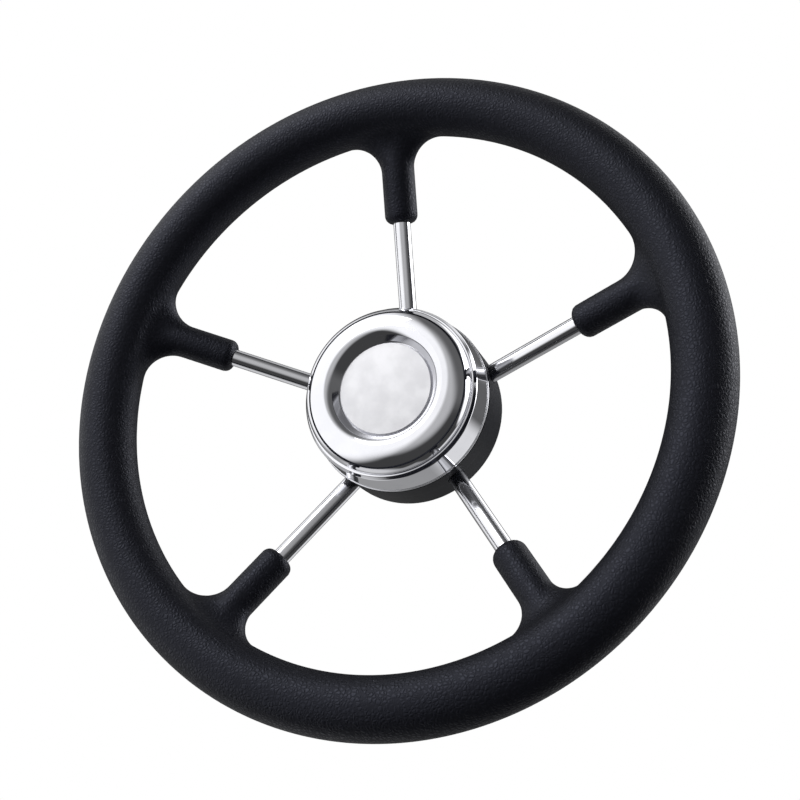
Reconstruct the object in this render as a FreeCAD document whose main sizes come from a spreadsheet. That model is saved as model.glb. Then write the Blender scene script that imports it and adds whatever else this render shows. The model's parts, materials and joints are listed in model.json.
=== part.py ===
import FreeCAD, Part

import math
import os

import Sketcher

# Five-spoke boat steering wheel. The wheel turns about the Y axis and the helmsman is on the -Y
# side. +Z is up, along the top spoke. The origin is the centre of the boss's rear face, which is
# the large end of the taper that seats on the helm shaft.
# All lengths are millimetres, all angles degrees.
SIZES = {
    # Rim
    "wheel_diameter": 350.0,
    "grip_thickness": 30.8,
    "core_diameter": 14.0,
    "core_wall": 1.5,
    # From the plane of the rim back to the boss's rear face
    "dish_depth": 57.5,
    # Spokes: round bar that runs forward from a socket in the boss to the rim. Its axis ends this far
    # ahead of the boss's rear face, and this far behind the plane of the rim.
    "spoke_diameter": 9.5,
    "spoke_foot_height": 6.65,
    "spoke_set_back": 4.3,
    "socket_depth": 6.0,
    "weld_gap": 0.2,
    # Sleeves of the grip over the outer ends of the spokes
    "sleeve_diameter": 18.2,
    "sleeve_end_radius": 102.2,
    "sleeve_end_rounding": 4.3,
    "web_rounding": 16.0,
    "moulding_gap": 0.1,
    # How far a cut runs on past the face where it breaks out
    "cut_overrun": 1.0,
    # Boss, with a 1:12 taper for a 3/4 inch helm shaft
    "boss_diameter": 48.0,
    "boss_spigot_diameter": 40.0,
    "taper_diameter": 19.05,
    "taper_length": 25.4,
    "taper_ratio": 12.0,
    "keyway_width": 4.76,
    "keyway_depth": 2.4,
    "nut_pocket_diameter": 30.0,
    "nut_pocket_depth": 10.0,
    "register_diameter": 34.0,
    "register_depth": 9.3,
    "register_edge": 0.6,
    "boss_edge": 1.0,
    # Plate welded round the front of the boss
    "plate_diameter": 84.0,
    "plate_thickness": 3.0,
    # Polished pressed skirt round the hub
    "skirt_hole_diameter": 72.0,
    "skirt_front_diameter": 95.9,
    "skirt_rear_diameter": 97.6,
    "skirt_length": 17.7,
    "skirt_wall": 1.2,
    "skirt_shoulder": 5.0,
    "skirt_bead_width": 1.2,
    "skirt_bead_height": 0.5,
    "skirt_bead_rounding": 0.45,
    # Two black moulded shrouds that close round the spokes behind the skirt
    "shroud_diameter": 99.0,
    "shroud_wall": 2.6,
    "shroud_edge": 2.0,
    "shroud_lip_length": 4.0,
    "shroud_lip_wall": 2.2,
    "shroud_clearance": 0.3,
    "boss_standout": 0.5,
    "post_diameter": 7.4,
    "post_circle_diameter": 87.6,
    "rib_thickness": 1.8,
    "rib_height": 8.0,
    "rib_end_gap": 0.5,
    # Screws that draw the shrouds together
    "screw_diameter": 3.5,
    "screw_length": 16.0,
    "screw_head_diameter": 6.2,
    "screw_head_height": 2.4,
    "screw_head_rounding": 1.1,
    "cross_recess_span": 3.6,
    "cross_recess_width": 0.9,
    "cross_recess_depth": 1.3,
    "screw_bite": 8.0,
    "screw_clearance": 0.2,
    # Cap: pressed dome with a dished middle and a thin brim
    "cap_height": 10.1,
    "cap_wall": 1.0,
    "cap_diameter": 88.8,
    "dome_diameter": 82.4,
    "dome_fall": 2.0,
    "dome_rounding": 7.4,
    "dish_rim_diameter": 59.4,
    "dish_floor_diameter": 51.2,
    "dish_floor_depth": 6.4,
    "dish_rim_rounding": 2.6,
    "dish_floor_rounding": 1.4,
    "brim_root_rounding": 0.7,
    "brim_edge_rounding": 0.35,
    "cap_seat_gap": 0.3,
    # Matt disc in the dish
    "inlay_diameter": 49.4,
    "inlay_thickness": 0.8,
    "inlay_edge": 0.2,
    # Moulded carrier under the dome, with the spigot and its sealing ring
    "carrier_diameter": 48.0,
    "carrier_thickness": 2.0,
    "carrier_rib_thickness": 1.8,
    "carrier_rib_drop": 0.3,
    "carrier_reach": 78.0,
    "spigot_clearance": 0.3,
    "spigot_wall": 3.7,
    "spigot_depth": 8.0,
    "spigot_edge": 0.6,
    "ring_section": 2.4,
    "ring_set_back": 3.0,
    "ring_clearance": 0.15,
    "ring_groove_play": 0.2,
}

SPOKE_NAMES = [
    "spoke_top",
    "spoke_right_upper",
    "spoke_right_lower",
    "spoke_left_lower",
    "spoke_left_upper",
]
SPOKE_COUNT = len(SPOKE_NAMES)
CARRIER_RIB_COUNT = 6
# Two rings count as the same when they are this close
SAME_RING = 0.01
# A tilted sketch starts at this angle, before its expression sets the real one
ROUGH_SLOPE = 20.0

# Lengths that several pieces share, as expressions on the sheet
RIM_RADIUS = "(Sizes.wheel_diameter / 2 - Sizes.grip_thickness / 2)"
BOSS_LENGTH = "(Sizes.taper_length + Sizes.nut_pocket_depth + Sizes.register_depth)"
BOSS_RADIUS = "(Sizes.boss_diameter / 2)"
SOCKET_RADIUS = "(Sizes.boss_diameter / 2 - Sizes.socket_depth)"
SPOKE_RISE = "(Sizes.dish_depth - Sizes.spoke_set_back - Sizes.spoke_foot_height)"
# A spoke's way forward for each millimetre outwards
SPOKE_FALL = "(" + SPOKE_RISE + " / (" + RIM_RADIUS + " - " + SOCKET_RADIUS + "))"
SHROUD_RADIUS = "(Sizes.shroud_diameter / 2)"
SHROUD_INSIDE = "(Sizes.shroud_diameter / 2 - Sizes.shroud_wall)"
# The ways for the spokes through the shrouds' wall run well past it on both sides
SPOKE_WAY_START = "(" + SHROUD_INSIDE + " - Sizes.spoke_diameter)"
SPOKE_WAY_LENGTH = "(Sizes.shroud_wall + 2 * Sizes.spoke_diameter)"
# The shrouds part where a spoke's axis crosses their wall, measured from the plane of the rim
PARTING_DEPTH = (
    "(Sizes.spoke_set_back + (" + RIM_RADIUS + " - " + SHROUD_RADIUS + ") * " + SPOKE_FALL + ")"
)
SKIRT_FRONT = "(" + BOSS_LENGTH + " + Sizes.skirt_wall)"
SHROUD_FRONT = "(" + SKIRT_FRONT + " - Sizes.skirt_length + Sizes.shroud_lip_length)"
SHROUD_SHOULDER = "(Sizes.shroud_lip_length + Sizes.shroud_clearance)"
FRONT_SHROUD_LENGTH = "(" + SHROUD_FRONT + " - Sizes.dish_depth + " + PARTING_DEPTH + ")"
REAR_SHROUD_LENGTH = "(Sizes.dish_depth - " + PARTING_DEPTH + " - Sizes.boss_standout)"
CAP_FRONT = "(" + SKIRT_FRONT + " + Sizes.cap_seat_gap + Sizes.cap_height)"
# From the crown of the cap back to the boss's front face, where the spigot enters
CAP_TO_BOSS = "(Sizes.cap_height + Sizes.cap_seat_gap + Sizes.skirt_wall)"
SPIGOT_RADIUS = "(Sizes.register_diameter / 2 - Sizes.spigot_clearance)"
# The first post's centre, midway between two spokes
POST_RADIUS = "(Sizes.post_circle_diameter / 2)"
HALF_BAY = "(180 / " + str(SPOKE_COUNT) + ")"
POST_ACROSS = "(" + POST_RADIUS + " * sin(" + HALF_BAY + "))"
POST_UP = "(" + POST_RADIUS + " * cos(" + HALF_BAY + "))"

document = FreeCAD.newDocument("boat_steering_wheel")
sheet = document.addObject("Spreadsheet::Sheet", "Sizes")
for row, (alias, value) in enumerate(SIZES.items(), start=1):
    sheet.set("A%d" % row, alias)
    sheet.set("B%d" % row, str(value))
    sheet.setAlias("B%d" % row, alias)
document.recompute()


def new_body(name, front):
    """A body for one piece, whose own origin lies on the wheel's axis, front mm ahead of the boss's
    rear face."""
    body = document.addObject("PartDesign::Body", name)
    body.Label = name
    body.setExpression("Placement.Base.y", "-" + front)
    return body


def origin_feature(body, role):
    return next(item for item in body.Origin.OriginFeatures if item.Role == role)


def new_sketch(body, name, role):
    sketch = body.newObject("Sketcher::SketchObject", name)
    sketch.AttachmentSupport = [(origin_feature(body, role), "")]
    sketch.MapMode = "FlatFace"
    return sketch


def cross_sketch(body, name, depth):
    """A sketch square to the wheel's axis, depth mm behind the body's own origin."""
    sketch = new_sketch(body, name, "XZ_Plane")
    sketch.setExpression("AttachmentOffset.Base.z", "-" + depth)
    return sketch


def spoke_sketch(body, name, radius, front):
    """A sketch square to the top spoke, centred on its axis at a distance from the wheel's axis.
    front is how far the body's own origin lies behind the plane of the rim."""
    sketch = new_sketch(body, name, "XY_Plane")
    sketch.AttachmentOffset = FreeCAD.Placement(
        FreeCAD.Vector(0, 0, 0), FreeCAD.Rotation(FreeCAD.Vector(1, 0, 0), ROUGH_SLOPE)
    )
    rise = "(%s - %s) * %s" % (RIM_RADIUS, radius, SPOKE_FALL)
    sketch.setExpression("AttachmentOffset.Rotation.Angle", "atan(%s)" % SPOKE_FALL)
    sketch.setExpression("AttachmentOffset.Base.y", "Sizes.spoke_set_back + %s - %s" % (rise, front))
    sketch.setExpression("AttachmentOffset.Base.z", radius)
    return sketch


def place_point(sketch, geometry, point, across, up, rough):
    """Hold a point of the sketch at two expressions; "0" puts it on an axis of the sketch."""
    if across == "0":
        sketch.addConstraint(Sketcher.Constraint("PointOnObject", geometry, point, -2))
    else:
        held = sketch.addConstraint(Sketcher.Constraint("DistanceX", -1, 1, geometry, point, rough[0]))
        sketch.setExpression("Constraints[%d]" % held, across)
    if up == "0":
        sketch.addConstraint(Sketcher.Constraint("PointOnObject", geometry, point, -1))
    else:
        held = sketch.addConstraint(Sketcher.Constraint("DistanceY", -1, 1, geometry, point, rough[1]))
        sketch.setExpression("Constraints[%d]" % held, up)


def add_lines(sketch, rough):
    """A closed outline of straight lines through rough points, joined end to end."""
    points = [FreeCAD.Vector(across, up, 0) for across, up in rough]
    lines = []
    for start, end in zip(points, points[1:] + points[:1]):
        lines.append(sketch.addGeometry(Part.LineSegment(start, end)))
    for k, line in enumerate(lines):
        sketch.addConstraint(Sketcher.Constraint("Coincident", lines[k - 1], 2, line, 1))
    return lines


def add_outline(sketch, corners):
    """A closed outline of straight lines through corners, each given as two expressions."""
    rough = []
    for k, (across, up) in enumerate(corners):
        rough.append((0.0 if across == "0" else 10.0 + 3 * k, 0.0 if up == "0" else 5.0 + k * k))
    lines = add_lines(sketch, rough)
    for line, (across, up), start in zip(lines, corners, rough):
        place_point(sketch, line, 1, across, up, start)


def add_bar(sketch, width, near, far):
    """A rectangle centred on the sketch's upright axis, from near to far along it."""
    rough = [(-2, 5), (2, 5), (2, 15), (-2, 15)]
    lines = add_lines(sketch, rough)
    for line in (lines[0], lines[2]):
        sketch.addConstraint(Sketcher.Constraint("Symmetric", line, 1, line, 2, -2))
    place_point(sketch, lines[1], 1, width + " / 2", near, rough[1])
    place_point(sketch, lines[2], 1, width + " / 2", far, rough[2])


def add_circle(sketch, across, up, radius):
    rough = (0.0 if across == "0" else 20.0, 0.0 if up == "0" else 30.0)
    centre = FreeCAD.Vector(rough[0], rough[1], 0)
    circle = sketch.addGeometry(Part.Circle(centre, FreeCAD.Vector(0, 0, 1), 5.0))
    place_point(sketch, circle, 3, across, up, rough)
    held = sketch.addConstraint(Sketcher.Constraint("Radius", circle, 5.0))
    sketch.setExpression("Constraints[%d]" % held, radius)


def add_cross(sketch, across, up, reach, half):
    """An upright cross round a centre. reach is half its span, half is half the width of an arm."""
    steps = [
        ("-" + half, "+" + reach),
        ("+" + half, "+" + reach),
        ("+" + half, "+" + half),
        ("+" + reach, "+" + half),
        ("+" + reach, "-" + half),
        ("+" + half, "-" + half),
        ("+" + half, "-" + reach),
        ("-" + half, "-" + reach),
        ("-" + half, "-" + half),
        ("-" + reach, "-" + half),
        ("-" + reach, "+" + half),
        ("-" + half, "+" + half),
    ]
    add_outline(sketch, [(across + sideways, up + upwards) for sideways, upwards in steps])


def turn(body, kind, name, sketch):
    """Revolution or Groove of a sketch in the plane of the wheel's axis and the top spoke."""
    feature = body.newObject("PartDesign::" + kind, name)
    feature.Profile = sketch
    feature.ReferenceAxis = (sketch, ["H_Axis"])
    feature.Angle = 360.0
    return feature


def extrude(body, kind, name, sketch, length, other_way=False):
    """Pad or Pocket of a sketch."""
    feature = body.newObject("PartDesign::" + kind, name)
    feature.Profile = sketch
    feature.Type = "Length"
    feature.setExpression("Length", length)
    feature.Reversed = other_way
    return feature


def repeat(body, name, features, count):
    """Copies of features spaced evenly round the wheel's axis."""
    pattern = body.newObject("PartDesign::PolarPattern", name)
    pattern.Originals = features
    pattern.Axis = (origin_feature(body, "Y_Axis"), [""])
    pattern.Angle = 360.0
    pattern.Occurrences = count
    body.Tip = pattern
    return pattern


def round_edges(body, kind, name, chosen, radius):
    """Fillet or Chamfer of the edges of the body so far for which chosen(shape, edge) is true."""
    document.recompute()
    base = body.Tip
    names = []
    for number, edge in enumerate(base.Shape.Edges, start=1):
        if chosen(base.Shape, edge):
            names.append("Edge%d" % number)
    if not names:
        raise ValueError("no edge found for " + name)
    feature = body.newObject("PartDesign::" + kind, name)
    feature.Base = (base, names)
    feature.setExpression("Radius" if kind == "Fillet" else "Size", radius)
    return feature


def corner_ring(section, corner):
    """Chooses the ring that one corner of a turned section sweeps, by the corner's number."""
    def chosen(shape, edge):
        if not isinstance(edge.Curve, Part.Circle) or not edge.isClosed():
            return False
        swept = section.Geometry[corner].StartPoint
        centre = edge.Curve.Center
        off_axis = math.hypot(centre.x, centre.z)
        return max(off_axis, abs(centre.y - swept.x), abs(edge.Curve.Radius - swept.y)) < SAME_RING
    return chosen


def make_rim_core():
    """Tube bent to a closed ring, which carries the grip."""
    body = new_body("rim_core", "Sizes.dish_depth")
    section = new_sketch(body, "core_section", "YZ_Plane")
    add_circle(section, "0", RIM_RADIUS, "Sizes.core_diameter / 2")
    add_circle(section, "0", RIM_RADIUS, "Sizes.core_diameter / 2 - Sizes.core_wall")
    turn(body, "Revolution", "core_ring", section)
    return body


def spoke_length(radius):
    """Along a spoke's axis, from a distance from the wheel's axis to well inside the rim's tube."""
    reach = "(%s - Sizes.core_diameter / 4 - %s)" % (RIM_RADIUS, radius)
    return "%s / cos(atan(%s))" % (reach, SPOKE_FALL)


def make_spoke(name, angle):
    """Round bar, let into the boss at one end and coped to the rim's tube at the other."""
    body = new_body(name, "Sizes.dish_depth")
    section = spoke_sketch(body, name + "_section", SOCKET_RADIUS, "0")
    add_circle(section, "0", "0", "Sizes.spoke_diameter / 2")
    extrude(body, "Pad", name + "_bar", section, spoke_length(SOCKET_RADIUS))
    cope = new_sketch(body, name + "_cope_section", "YZ_Plane")
    add_circle(cope, "0", RIM_RADIUS, "Sizes.core_diameter / 2 + Sizes.weld_gap")
    turn(body, "Groove", name + "_cope", cope)
    body.Placement = FreeCAD.Placement(
        body.Placement.Base, FreeCAD.Rotation(FreeCAD.Vector(0, 1, 0), angle)
    )
    return body


def make_rim_grip():
    """Soft grip moulded in one over the rim's tube, with a sleeve down each spoke. Each sleeve runs
    into the rim in a wide web."""
    body = new_body("rim_grip", "Sizes.dish_depth")
    section = new_sketch(body, "grip_section", "YZ_Plane")
    add_circle(section, "0", RIM_RADIUS, "Sizes.grip_thickness / 2")
    turn(body, "Revolution", "grip_ring", section)
    sleeve_section = spoke_sketch(body, "sleeve_section", "Sizes.sleeve_end_radius", "0")
    add_circle(sleeve_section, "0", "0", "Sizes.sleeve_diameter / 2")
    length = "(%s - Sizes.sleeve_end_radius) / cos(atan(%s))" % (RIM_RADIUS, SPOKE_FALL)
    sleeve = extrude(body, "Pad", "sleeve", sleeve_section, length)
    repeat(body, "sleeves", [sleeve], SPOKE_COUNT)

    def kinds_beside(shape, edge):
        return {type(face.Surface) for face in shape.ancestorsOfType(edge, Part.Face)}

    def at_sleeve_end(shape, edge):
        return kinds_beside(shape, edge) == {Part.Cylinder, Part.Plane}

    def at_sleeve_root(shape, edge):
        return kinds_beside(shape, edge) == {Part.Cylinder, Part.Toroid}

    round_edges(body, "Fillet", "webs", at_sleeve_root, "Sizes.web_rounding")
    round_edges(body, "Fillet", "sleeve_ends", at_sleeve_end, "Sizes.sleeve_end_rounding")
    core_space = new_sketch(body, "core_space_section", "YZ_Plane")
    add_circle(core_space, "0", RIM_RADIUS, "Sizes.core_diameter / 2 + Sizes.moulding_gap")
    turn(body, "Groove", "core_space", core_space)
    bore_start = "(Sizes.sleeve_end_radius - Sizes.cut_overrun)"
    bore_section = spoke_sketch(body, "sleeve_bore_section", bore_start, "0")
    add_circle(bore_section, "0", "0", "Sizes.spoke_diameter / 2 + Sizes.moulding_gap")
    bore = extrude(body, "Pocket", "sleeve_bore", bore_section, spoke_length(bore_start), other_way=True)
    repeat(body, "sleeve_bores", [bore], SPOKE_COUNT)
    return body


def cut_spoke_ways(body, name, front, radius, gap, length):
    """Round holes for the spokes, from a distance from the axis outwards."""
    section = spoke_sketch(body, name + "_section", radius, front)
    add_circle(section, "0", "0", "Sizes.spoke_diameter / 2 + " + gap)
    hole = extrude(body, "Pocket", name, section, length, other_way=True)
    repeat(body, name + "s", [hole], SPOKE_COUNT)


def make_hub_boss():
    """Turned boss: tapered bore with a keyway, a pocket for the shaft nut and a register for the
    cap, with five sockets for the spokes."""
    body = new_body("hub_boss", BOSS_LENGTH)
    section = new_sketch(body, "boss_section", "YZ_Plane")
    seat = "(Sizes.register_depth + Sizes.nut_pocket_depth)"
    small_end = "(Sizes.taper_diameter / 2 - Sizes.taper_length / Sizes.taper_ratio / 2)"
    add_outline(section, [
        ("0", "Sizes.boss_spigot_diameter / 2"),
        ("Sizes.plate_thickness", "Sizes.boss_spigot_diameter / 2"),
        ("Sizes.plate_thickness", BOSS_RADIUS),
        (BOSS_LENGTH + " - Sizes.boss_edge", BOSS_RADIUS),
        (BOSS_LENGTH, BOSS_RADIUS + " - Sizes.boss_edge"),
        (BOSS_LENGTH, "Sizes.taper_diameter / 2"),
        (seat, small_end),
        (seat, "Sizes.nut_pocket_diameter / 2"),
        ("Sizes.register_depth", "Sizes.nut_pocket_diameter / 2"),
        ("Sizes.register_depth", "Sizes.register_diameter / 2"),
        ("Sizes.register_edge", "Sizes.register_diameter / 2"),
        ("0", "Sizes.register_diameter / 2 + Sizes.register_edge"),
    ])
    turn(body, "Revolution", "boss_turning", section)
    keyway_section = cross_sketch(body, "keyway_section", seat)
    add_bar(keyway_section, "Sizes.keyway_width", "Sizes.taper_diameter / 4",
            "Sizes.taper_diameter / 2 + Sizes.keyway_depth")
    extrude(body, "Pocket", "keyway", keyway_section, "Sizes.taper_length")
    cut_spoke_ways(body, "spoke_socket", "(Sizes.dish_depth - %s)" % BOSS_LENGTH, SOCKET_RADIUS,
                   "Sizes.weld_gap", "(Sizes.socket_depth + Sizes.spoke_diameter)")
    return body


def make_hub_plate():
    """Flat ring welded round the boss, which the skirt seats on."""
    body = new_body("hub_plate", BOSS_LENGTH)
    outline = cross_sketch(body, "plate_outline", "0")
    add_circle(outline, "0", "0", "Sizes.plate_diameter / 2")
    add_circle(outline, "0", "0", "Sizes.boss_spigot_diameter / 2")
    extrude(body, "Pad", "plate", outline, "Sizes.plate_thickness", other_way=True)
    return body


def make_hub_skirt():
    """Pressed and polished ring: a flat front, a round shoulder and a flared wall that ends in a
    bead."""
    body = new_body("hub_skirt", SKIRT_FRONT)
    section = new_sketch(body, "skirt_section", "YZ_Plane")
    front = "Sizes.skirt_front_diameter / 2"
    rear = "Sizes.skirt_rear_diameter / 2"
    bead_start = "(Sizes.skirt_length - Sizes.skirt_bead_width)"
    add_outline(section, [
        ("0", "Sizes.skirt_hole_diameter / 2"),
        ("0", front),
        (bead_start, rear),
        (bead_start, rear + " + Sizes.skirt_bead_height"),
        ("Sizes.skirt_length", rear + " + Sizes.skirt_bead_height"),
        ("Sizes.skirt_length", rear + " - Sizes.skirt_wall"),
        ("Sizes.skirt_wall", front + " - Sizes.skirt_wall"),
        ("Sizes.skirt_wall", "Sizes.skirt_hole_diameter / 2"),
    ])
    turn(body, "Revolution", "skirt_wall", section)
    round_edges(body, "Fillet", "shoulder_outside", corner_ring(section, 1), "Sizes.skirt_shoulder")
    round_edges(body, "Fillet", "shoulder_inside", corner_ring(section, 6),
                "Sizes.skirt_shoulder - Sizes.skirt_wall")
    round_edges(body, "Fillet", "bead_rear", corner_ring(section, 4), "Sizes.skirt_bead_rounding")
    round_edges(body, "Fillet", "bead_front", corner_ring(section, 3), "Sizes.skirt_bead_rounding")
    return body


def add_posts(body, name, start, length):
    """Round posts for the screws, one midway between each pair of spokes."""
    section = cross_sketch(body, name + "_section", start)
    add_circle(section, POST_ACROSS, POST_UP, "Sizes.post_diameter / 2")
    post = extrude(body, "Pad", name, section, length, other_way=True)
    repeat(body, name + "s", [post], SPOKE_COUNT)


def cut_post_holes(body, name, start, length, diameter):
    """Round holes on the posts' centres."""
    section = cross_sketch(body, name + "_section", start)
    add_circle(section, POST_ACROSS, POST_UP, diameter + " / 2")
    hole = extrude(body, "Pocket", name, section, length)
    repeat(body, name + "s", [hole], SPOKE_COUNT)


def make_front_shroud():
    """Moulded ring in front of the spokes, with a lip that enters the skirt and posts for the
    screws."""
    body = new_body("front_shroud", SHROUD_FRONT)
    section = new_sketch(body, "front_shroud_section", "YZ_Plane")
    lip = "(Sizes.skirt_rear_diameter / 2 - Sizes.skirt_wall - 2 * Sizes.shroud_clearance)"
    inside = "(%s - Sizes.shroud_lip_wall)" % lip
    step = "(%s + Sizes.shroud_wall)" % SHROUD_SHOULDER
    add_outline(section, [
        ("0", inside),
        ("0", lip),
        (SHROUD_SHOULDER, lip),
        (SHROUD_SHOULDER, SHROUD_RADIUS),
        (FRONT_SHROUD_LENGTH, SHROUD_RADIUS),
        (FRONT_SHROUD_LENGTH, SHROUD_INSIDE),
        (step, SHROUD_INSIDE),
        (step, inside),
    ])
    turn(body, "Revolution", "front_shroud_wall", section)
    add_posts(body, "front_post", SHROUD_SHOULDER, "%s - %s" % (FRONT_SHROUD_LENGTH, SHROUD_SHOULDER))
    pilot = "(Sizes.screw_diameter + Sizes.screw_clearance)"
    pilot_start = "(%s - Sizes.screw_bite - Sizes.cut_overrun)" % FRONT_SHROUD_LENGTH
    cut_post_holes(body, "pilot_hole", pilot_start, "Sizes.screw_bite + 2 * Sizes.cut_overrun", pilot)
    cut_spoke_ways(body, "front_spoke_way", "(Sizes.dish_depth - %s)" % SHROUD_FRONT,
                   SPOKE_WAY_START, "Sizes.shroud_clearance", SPOKE_WAY_LENGTH)
    return body


def make_rear_shroud():
    """Moulded cup behind the spokes, open round the boss, ribbed inside, with sunk holes for the
    screws."""
    body = new_body("rear_shroud", "(Sizes.dish_depth - %s)" % PARTING_DEPTH)
    section = new_sketch(body, "rear_shroud_section", "YZ_Plane")
    opening = "(%s + Sizes.shroud_clearance)" % BOSS_RADIUS
    floor = "(%s - Sizes.shroud_wall)" % REAR_SHROUD_LENGTH
    add_outline(section, [
        ("0", SHROUD_INSIDE),
        ("0", SHROUD_RADIUS),
        (REAR_SHROUD_LENGTH, SHROUD_RADIUS),
        (REAR_SHROUD_LENGTH, opening),
        (floor, opening),
        (floor, SHROUD_INSIDE),
    ])
    turn(body, "Revolution", "rear_shroud_wall", section)
    round_edges(body, "Fillet", "rear_shroud_edge", corner_ring(section, 2), "Sizes.shroud_edge")
    add_posts(body, "rear_post", "0", floor)
    rib_section = cross_sketch(body, "rib_section", "(%s - Sizes.rib_height)" % floor)
    along = "sin(%s)" % HALF_BAY
    square = "cos(%s)" % HALF_BAY
    near = "(%s + Sizes.rib_end_gap)" % opening
    half = "Sizes.rib_thickness / 2"
    corners = []
    for distance, side in ((near, -1), (near, 1), (POST_RADIUS, 1), (POST_RADIUS, -1)):
        across = "%s * %s + (%d) * %s * %s" % (distance, along, side, half, square)
        up = "%s * %s - (%d) * %s * %s" % (distance, square, side, half, along)
        corners.append((across, up))
    add_outline(rib_section, corners)
    rib = extrude(body, "Pad", "rib", rib_section, "Sizes.rib_height", other_way=True)
    repeat(body, "ribs", [rib], SPOKE_COUNT)
    cut_post_holes(body, "screw_hole", "0", REAR_SHROUD_LENGTH,
                   "(Sizes.screw_diameter + 2 * Sizes.screw_clearance)")
    seat = "(Sizes.screw_length - Sizes.screw_bite)"
    cut_post_holes(body, "head_recess", seat, "%s - %s" % (REAR_SHROUD_LENGTH, seat),
                   "(Sizes.screw_head_diameter + 2 * Sizes.screw_clearance)")
    cut_spoke_ways(body, "rear_spoke_way", PARTING_DEPTH, SPOKE_WAY_START, "Sizes.shroud_clearance",
                   SPOKE_WAY_LENGTH)
    return body


def make_shroud_screws():
    """Pan-headed screws, driven from behind through the rear shroud's posts into the front ones."""
    body = new_body("shroud_screws", "(Sizes.dish_depth - %s + Sizes.screw_bite)" % PARTING_DEPTH)
    shank_section = cross_sketch(body, "shank_section", "0")
    add_circle(shank_section, POST_ACROSS, POST_UP, "Sizes.screw_diameter / 2")
    shank = extrude(body, "Pad", "shank", shank_section, "Sizes.screw_length", other_way=True)
    head_section = cross_sketch(body, "head_section", "Sizes.screw_length")
    add_circle(head_section, POST_ACROSS, POST_UP, "Sizes.screw_head_diameter / 2")
    head = extrude(body, "Pad", "head", head_section, "Sizes.screw_head_height", other_way=True)
    repeat(body, "screws", [shank, head], SPOKE_COUNT)
    head_end = SIZES["screw_length"] + SIZES["screw_head_height"]

    def at_head_rim(shape, edge):
        return isinstance(edge.Curve, Part.Circle) and abs(edge.Curve.Center.y - head_end) < SAME_RING

    round_edges(body, "Fillet", "head_rims", at_head_rim, "Sizes.screw_head_rounding")
    recess_start = "(Sizes.screw_length + Sizes.screw_head_height - Sizes.cross_recess_depth)"
    recess_section = cross_sketch(body, "recess_section", recess_start)
    add_cross(recess_section, POST_ACROSS, POST_UP, "Sizes.cross_recess_span / 2",
              "Sizes.cross_recess_width / 2")
    recess = extrude(body, "Pocket", "cross_recess", recess_section, "Sizes.cross_recess_depth")
    repeat(body, "cross_recesses", [recess], SPOKE_COUNT)
    return body


def make_cap_shell():
    """Pressed dome with a round crest, a dished middle and a thin brim that lies over the skirt. Its
    wall is measured square to the dish's side and to the crown."""
    body = new_body("cap_shell", CAP_FRONT)
    section = new_sketch(body, "dome_section", "YZ_Plane")
    floor_radius = "(Sizes.dish_floor_diameter / 2)"
    rim_radius = "(Sizes.dish_rim_diameter / 2)"
    dome_radius = "(Sizes.dome_diameter / 2)"
    inner_radius = "(%s - Sizes.cap_wall)" % dome_radius
    flare = "((%s - %s) / Sizes.dish_floor_depth)" % (rim_radius, floor_radius)
    fall = "(Sizes.dome_fall / (%s - %s))" % (dome_radius, rim_radius)
    flare_wall = "(Sizes.cap_wall * sqrt(1 + %s ^ 2))" % flare
    fall_wall = "(Sizes.cap_wall * sqrt(1 + %s ^ 2))" % fall
    under_rim = "((%s - %s * %s) / (1 + %s * %s))" % (flare_wall, flare, fall_wall, flare, fall)
    brim_front = "(Sizes.cap_height - Sizes.cap_wall)"
    add_outline(section, [
        ("Sizes.dish_floor_depth", "0"),
        ("Sizes.dish_floor_depth", floor_radius),
        ("0", rim_radius),
        ("Sizes.dome_fall", dome_radius),
        (brim_front, dome_radius),
        (brim_front, "Sizes.cap_diameter / 2"),
        ("Sizes.cap_height", "Sizes.cap_diameter / 2"),
        ("Sizes.cap_height", inner_radius),
        ("%s * (%s - %s) + %s" % (fall, inner_radius, rim_radius, fall_wall), inner_radius),
        ("%s * %s + %s" % (fall, under_rim, fall_wall), "%s + %s" % (rim_radius, under_rim)),
        ("Sizes.dish_floor_depth + Sizes.cap_wall",
         "%s + %s - %s * Sizes.cap_wall" % (floor_radius, flare_wall, flare)),
        ("Sizes.dish_floor_depth + Sizes.cap_wall", "0"),
    ])
    turn(body, "Revolution", "dome", section)
    wall = "Sizes.cap_wall"
    bends = [
        ("crest_outside", 2, "Sizes.dish_rim_rounding"),
        ("crest_inside", 9, "Sizes.dish_rim_rounding - " + wall),
        ("shoulder_outside", 3, "Sizes.dome_rounding"),
        ("shoulder_inside", 8, "Sizes.dome_rounding - " + wall),
        ("dish_corner_outside", 1, "Sizes.dish_floor_rounding"),
        ("dish_corner_inside", 10, "Sizes.dish_floor_rounding + " + wall),
        ("brim_root_outside", 4, "Sizes.brim_root_rounding"),
        ("brim_root_inside", 7, "Sizes.brim_root_rounding + " + wall),
        ("brim_edge_front", 5, "Sizes.brim_edge_rounding"),
        ("brim_edge_rear", 6, "Sizes.brim_edge_rounding"),
    ]
    for name, corner, radius in bends:
        round_edges(body, "Fillet", name, corner_ring(section, corner), radius)
    return body


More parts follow.
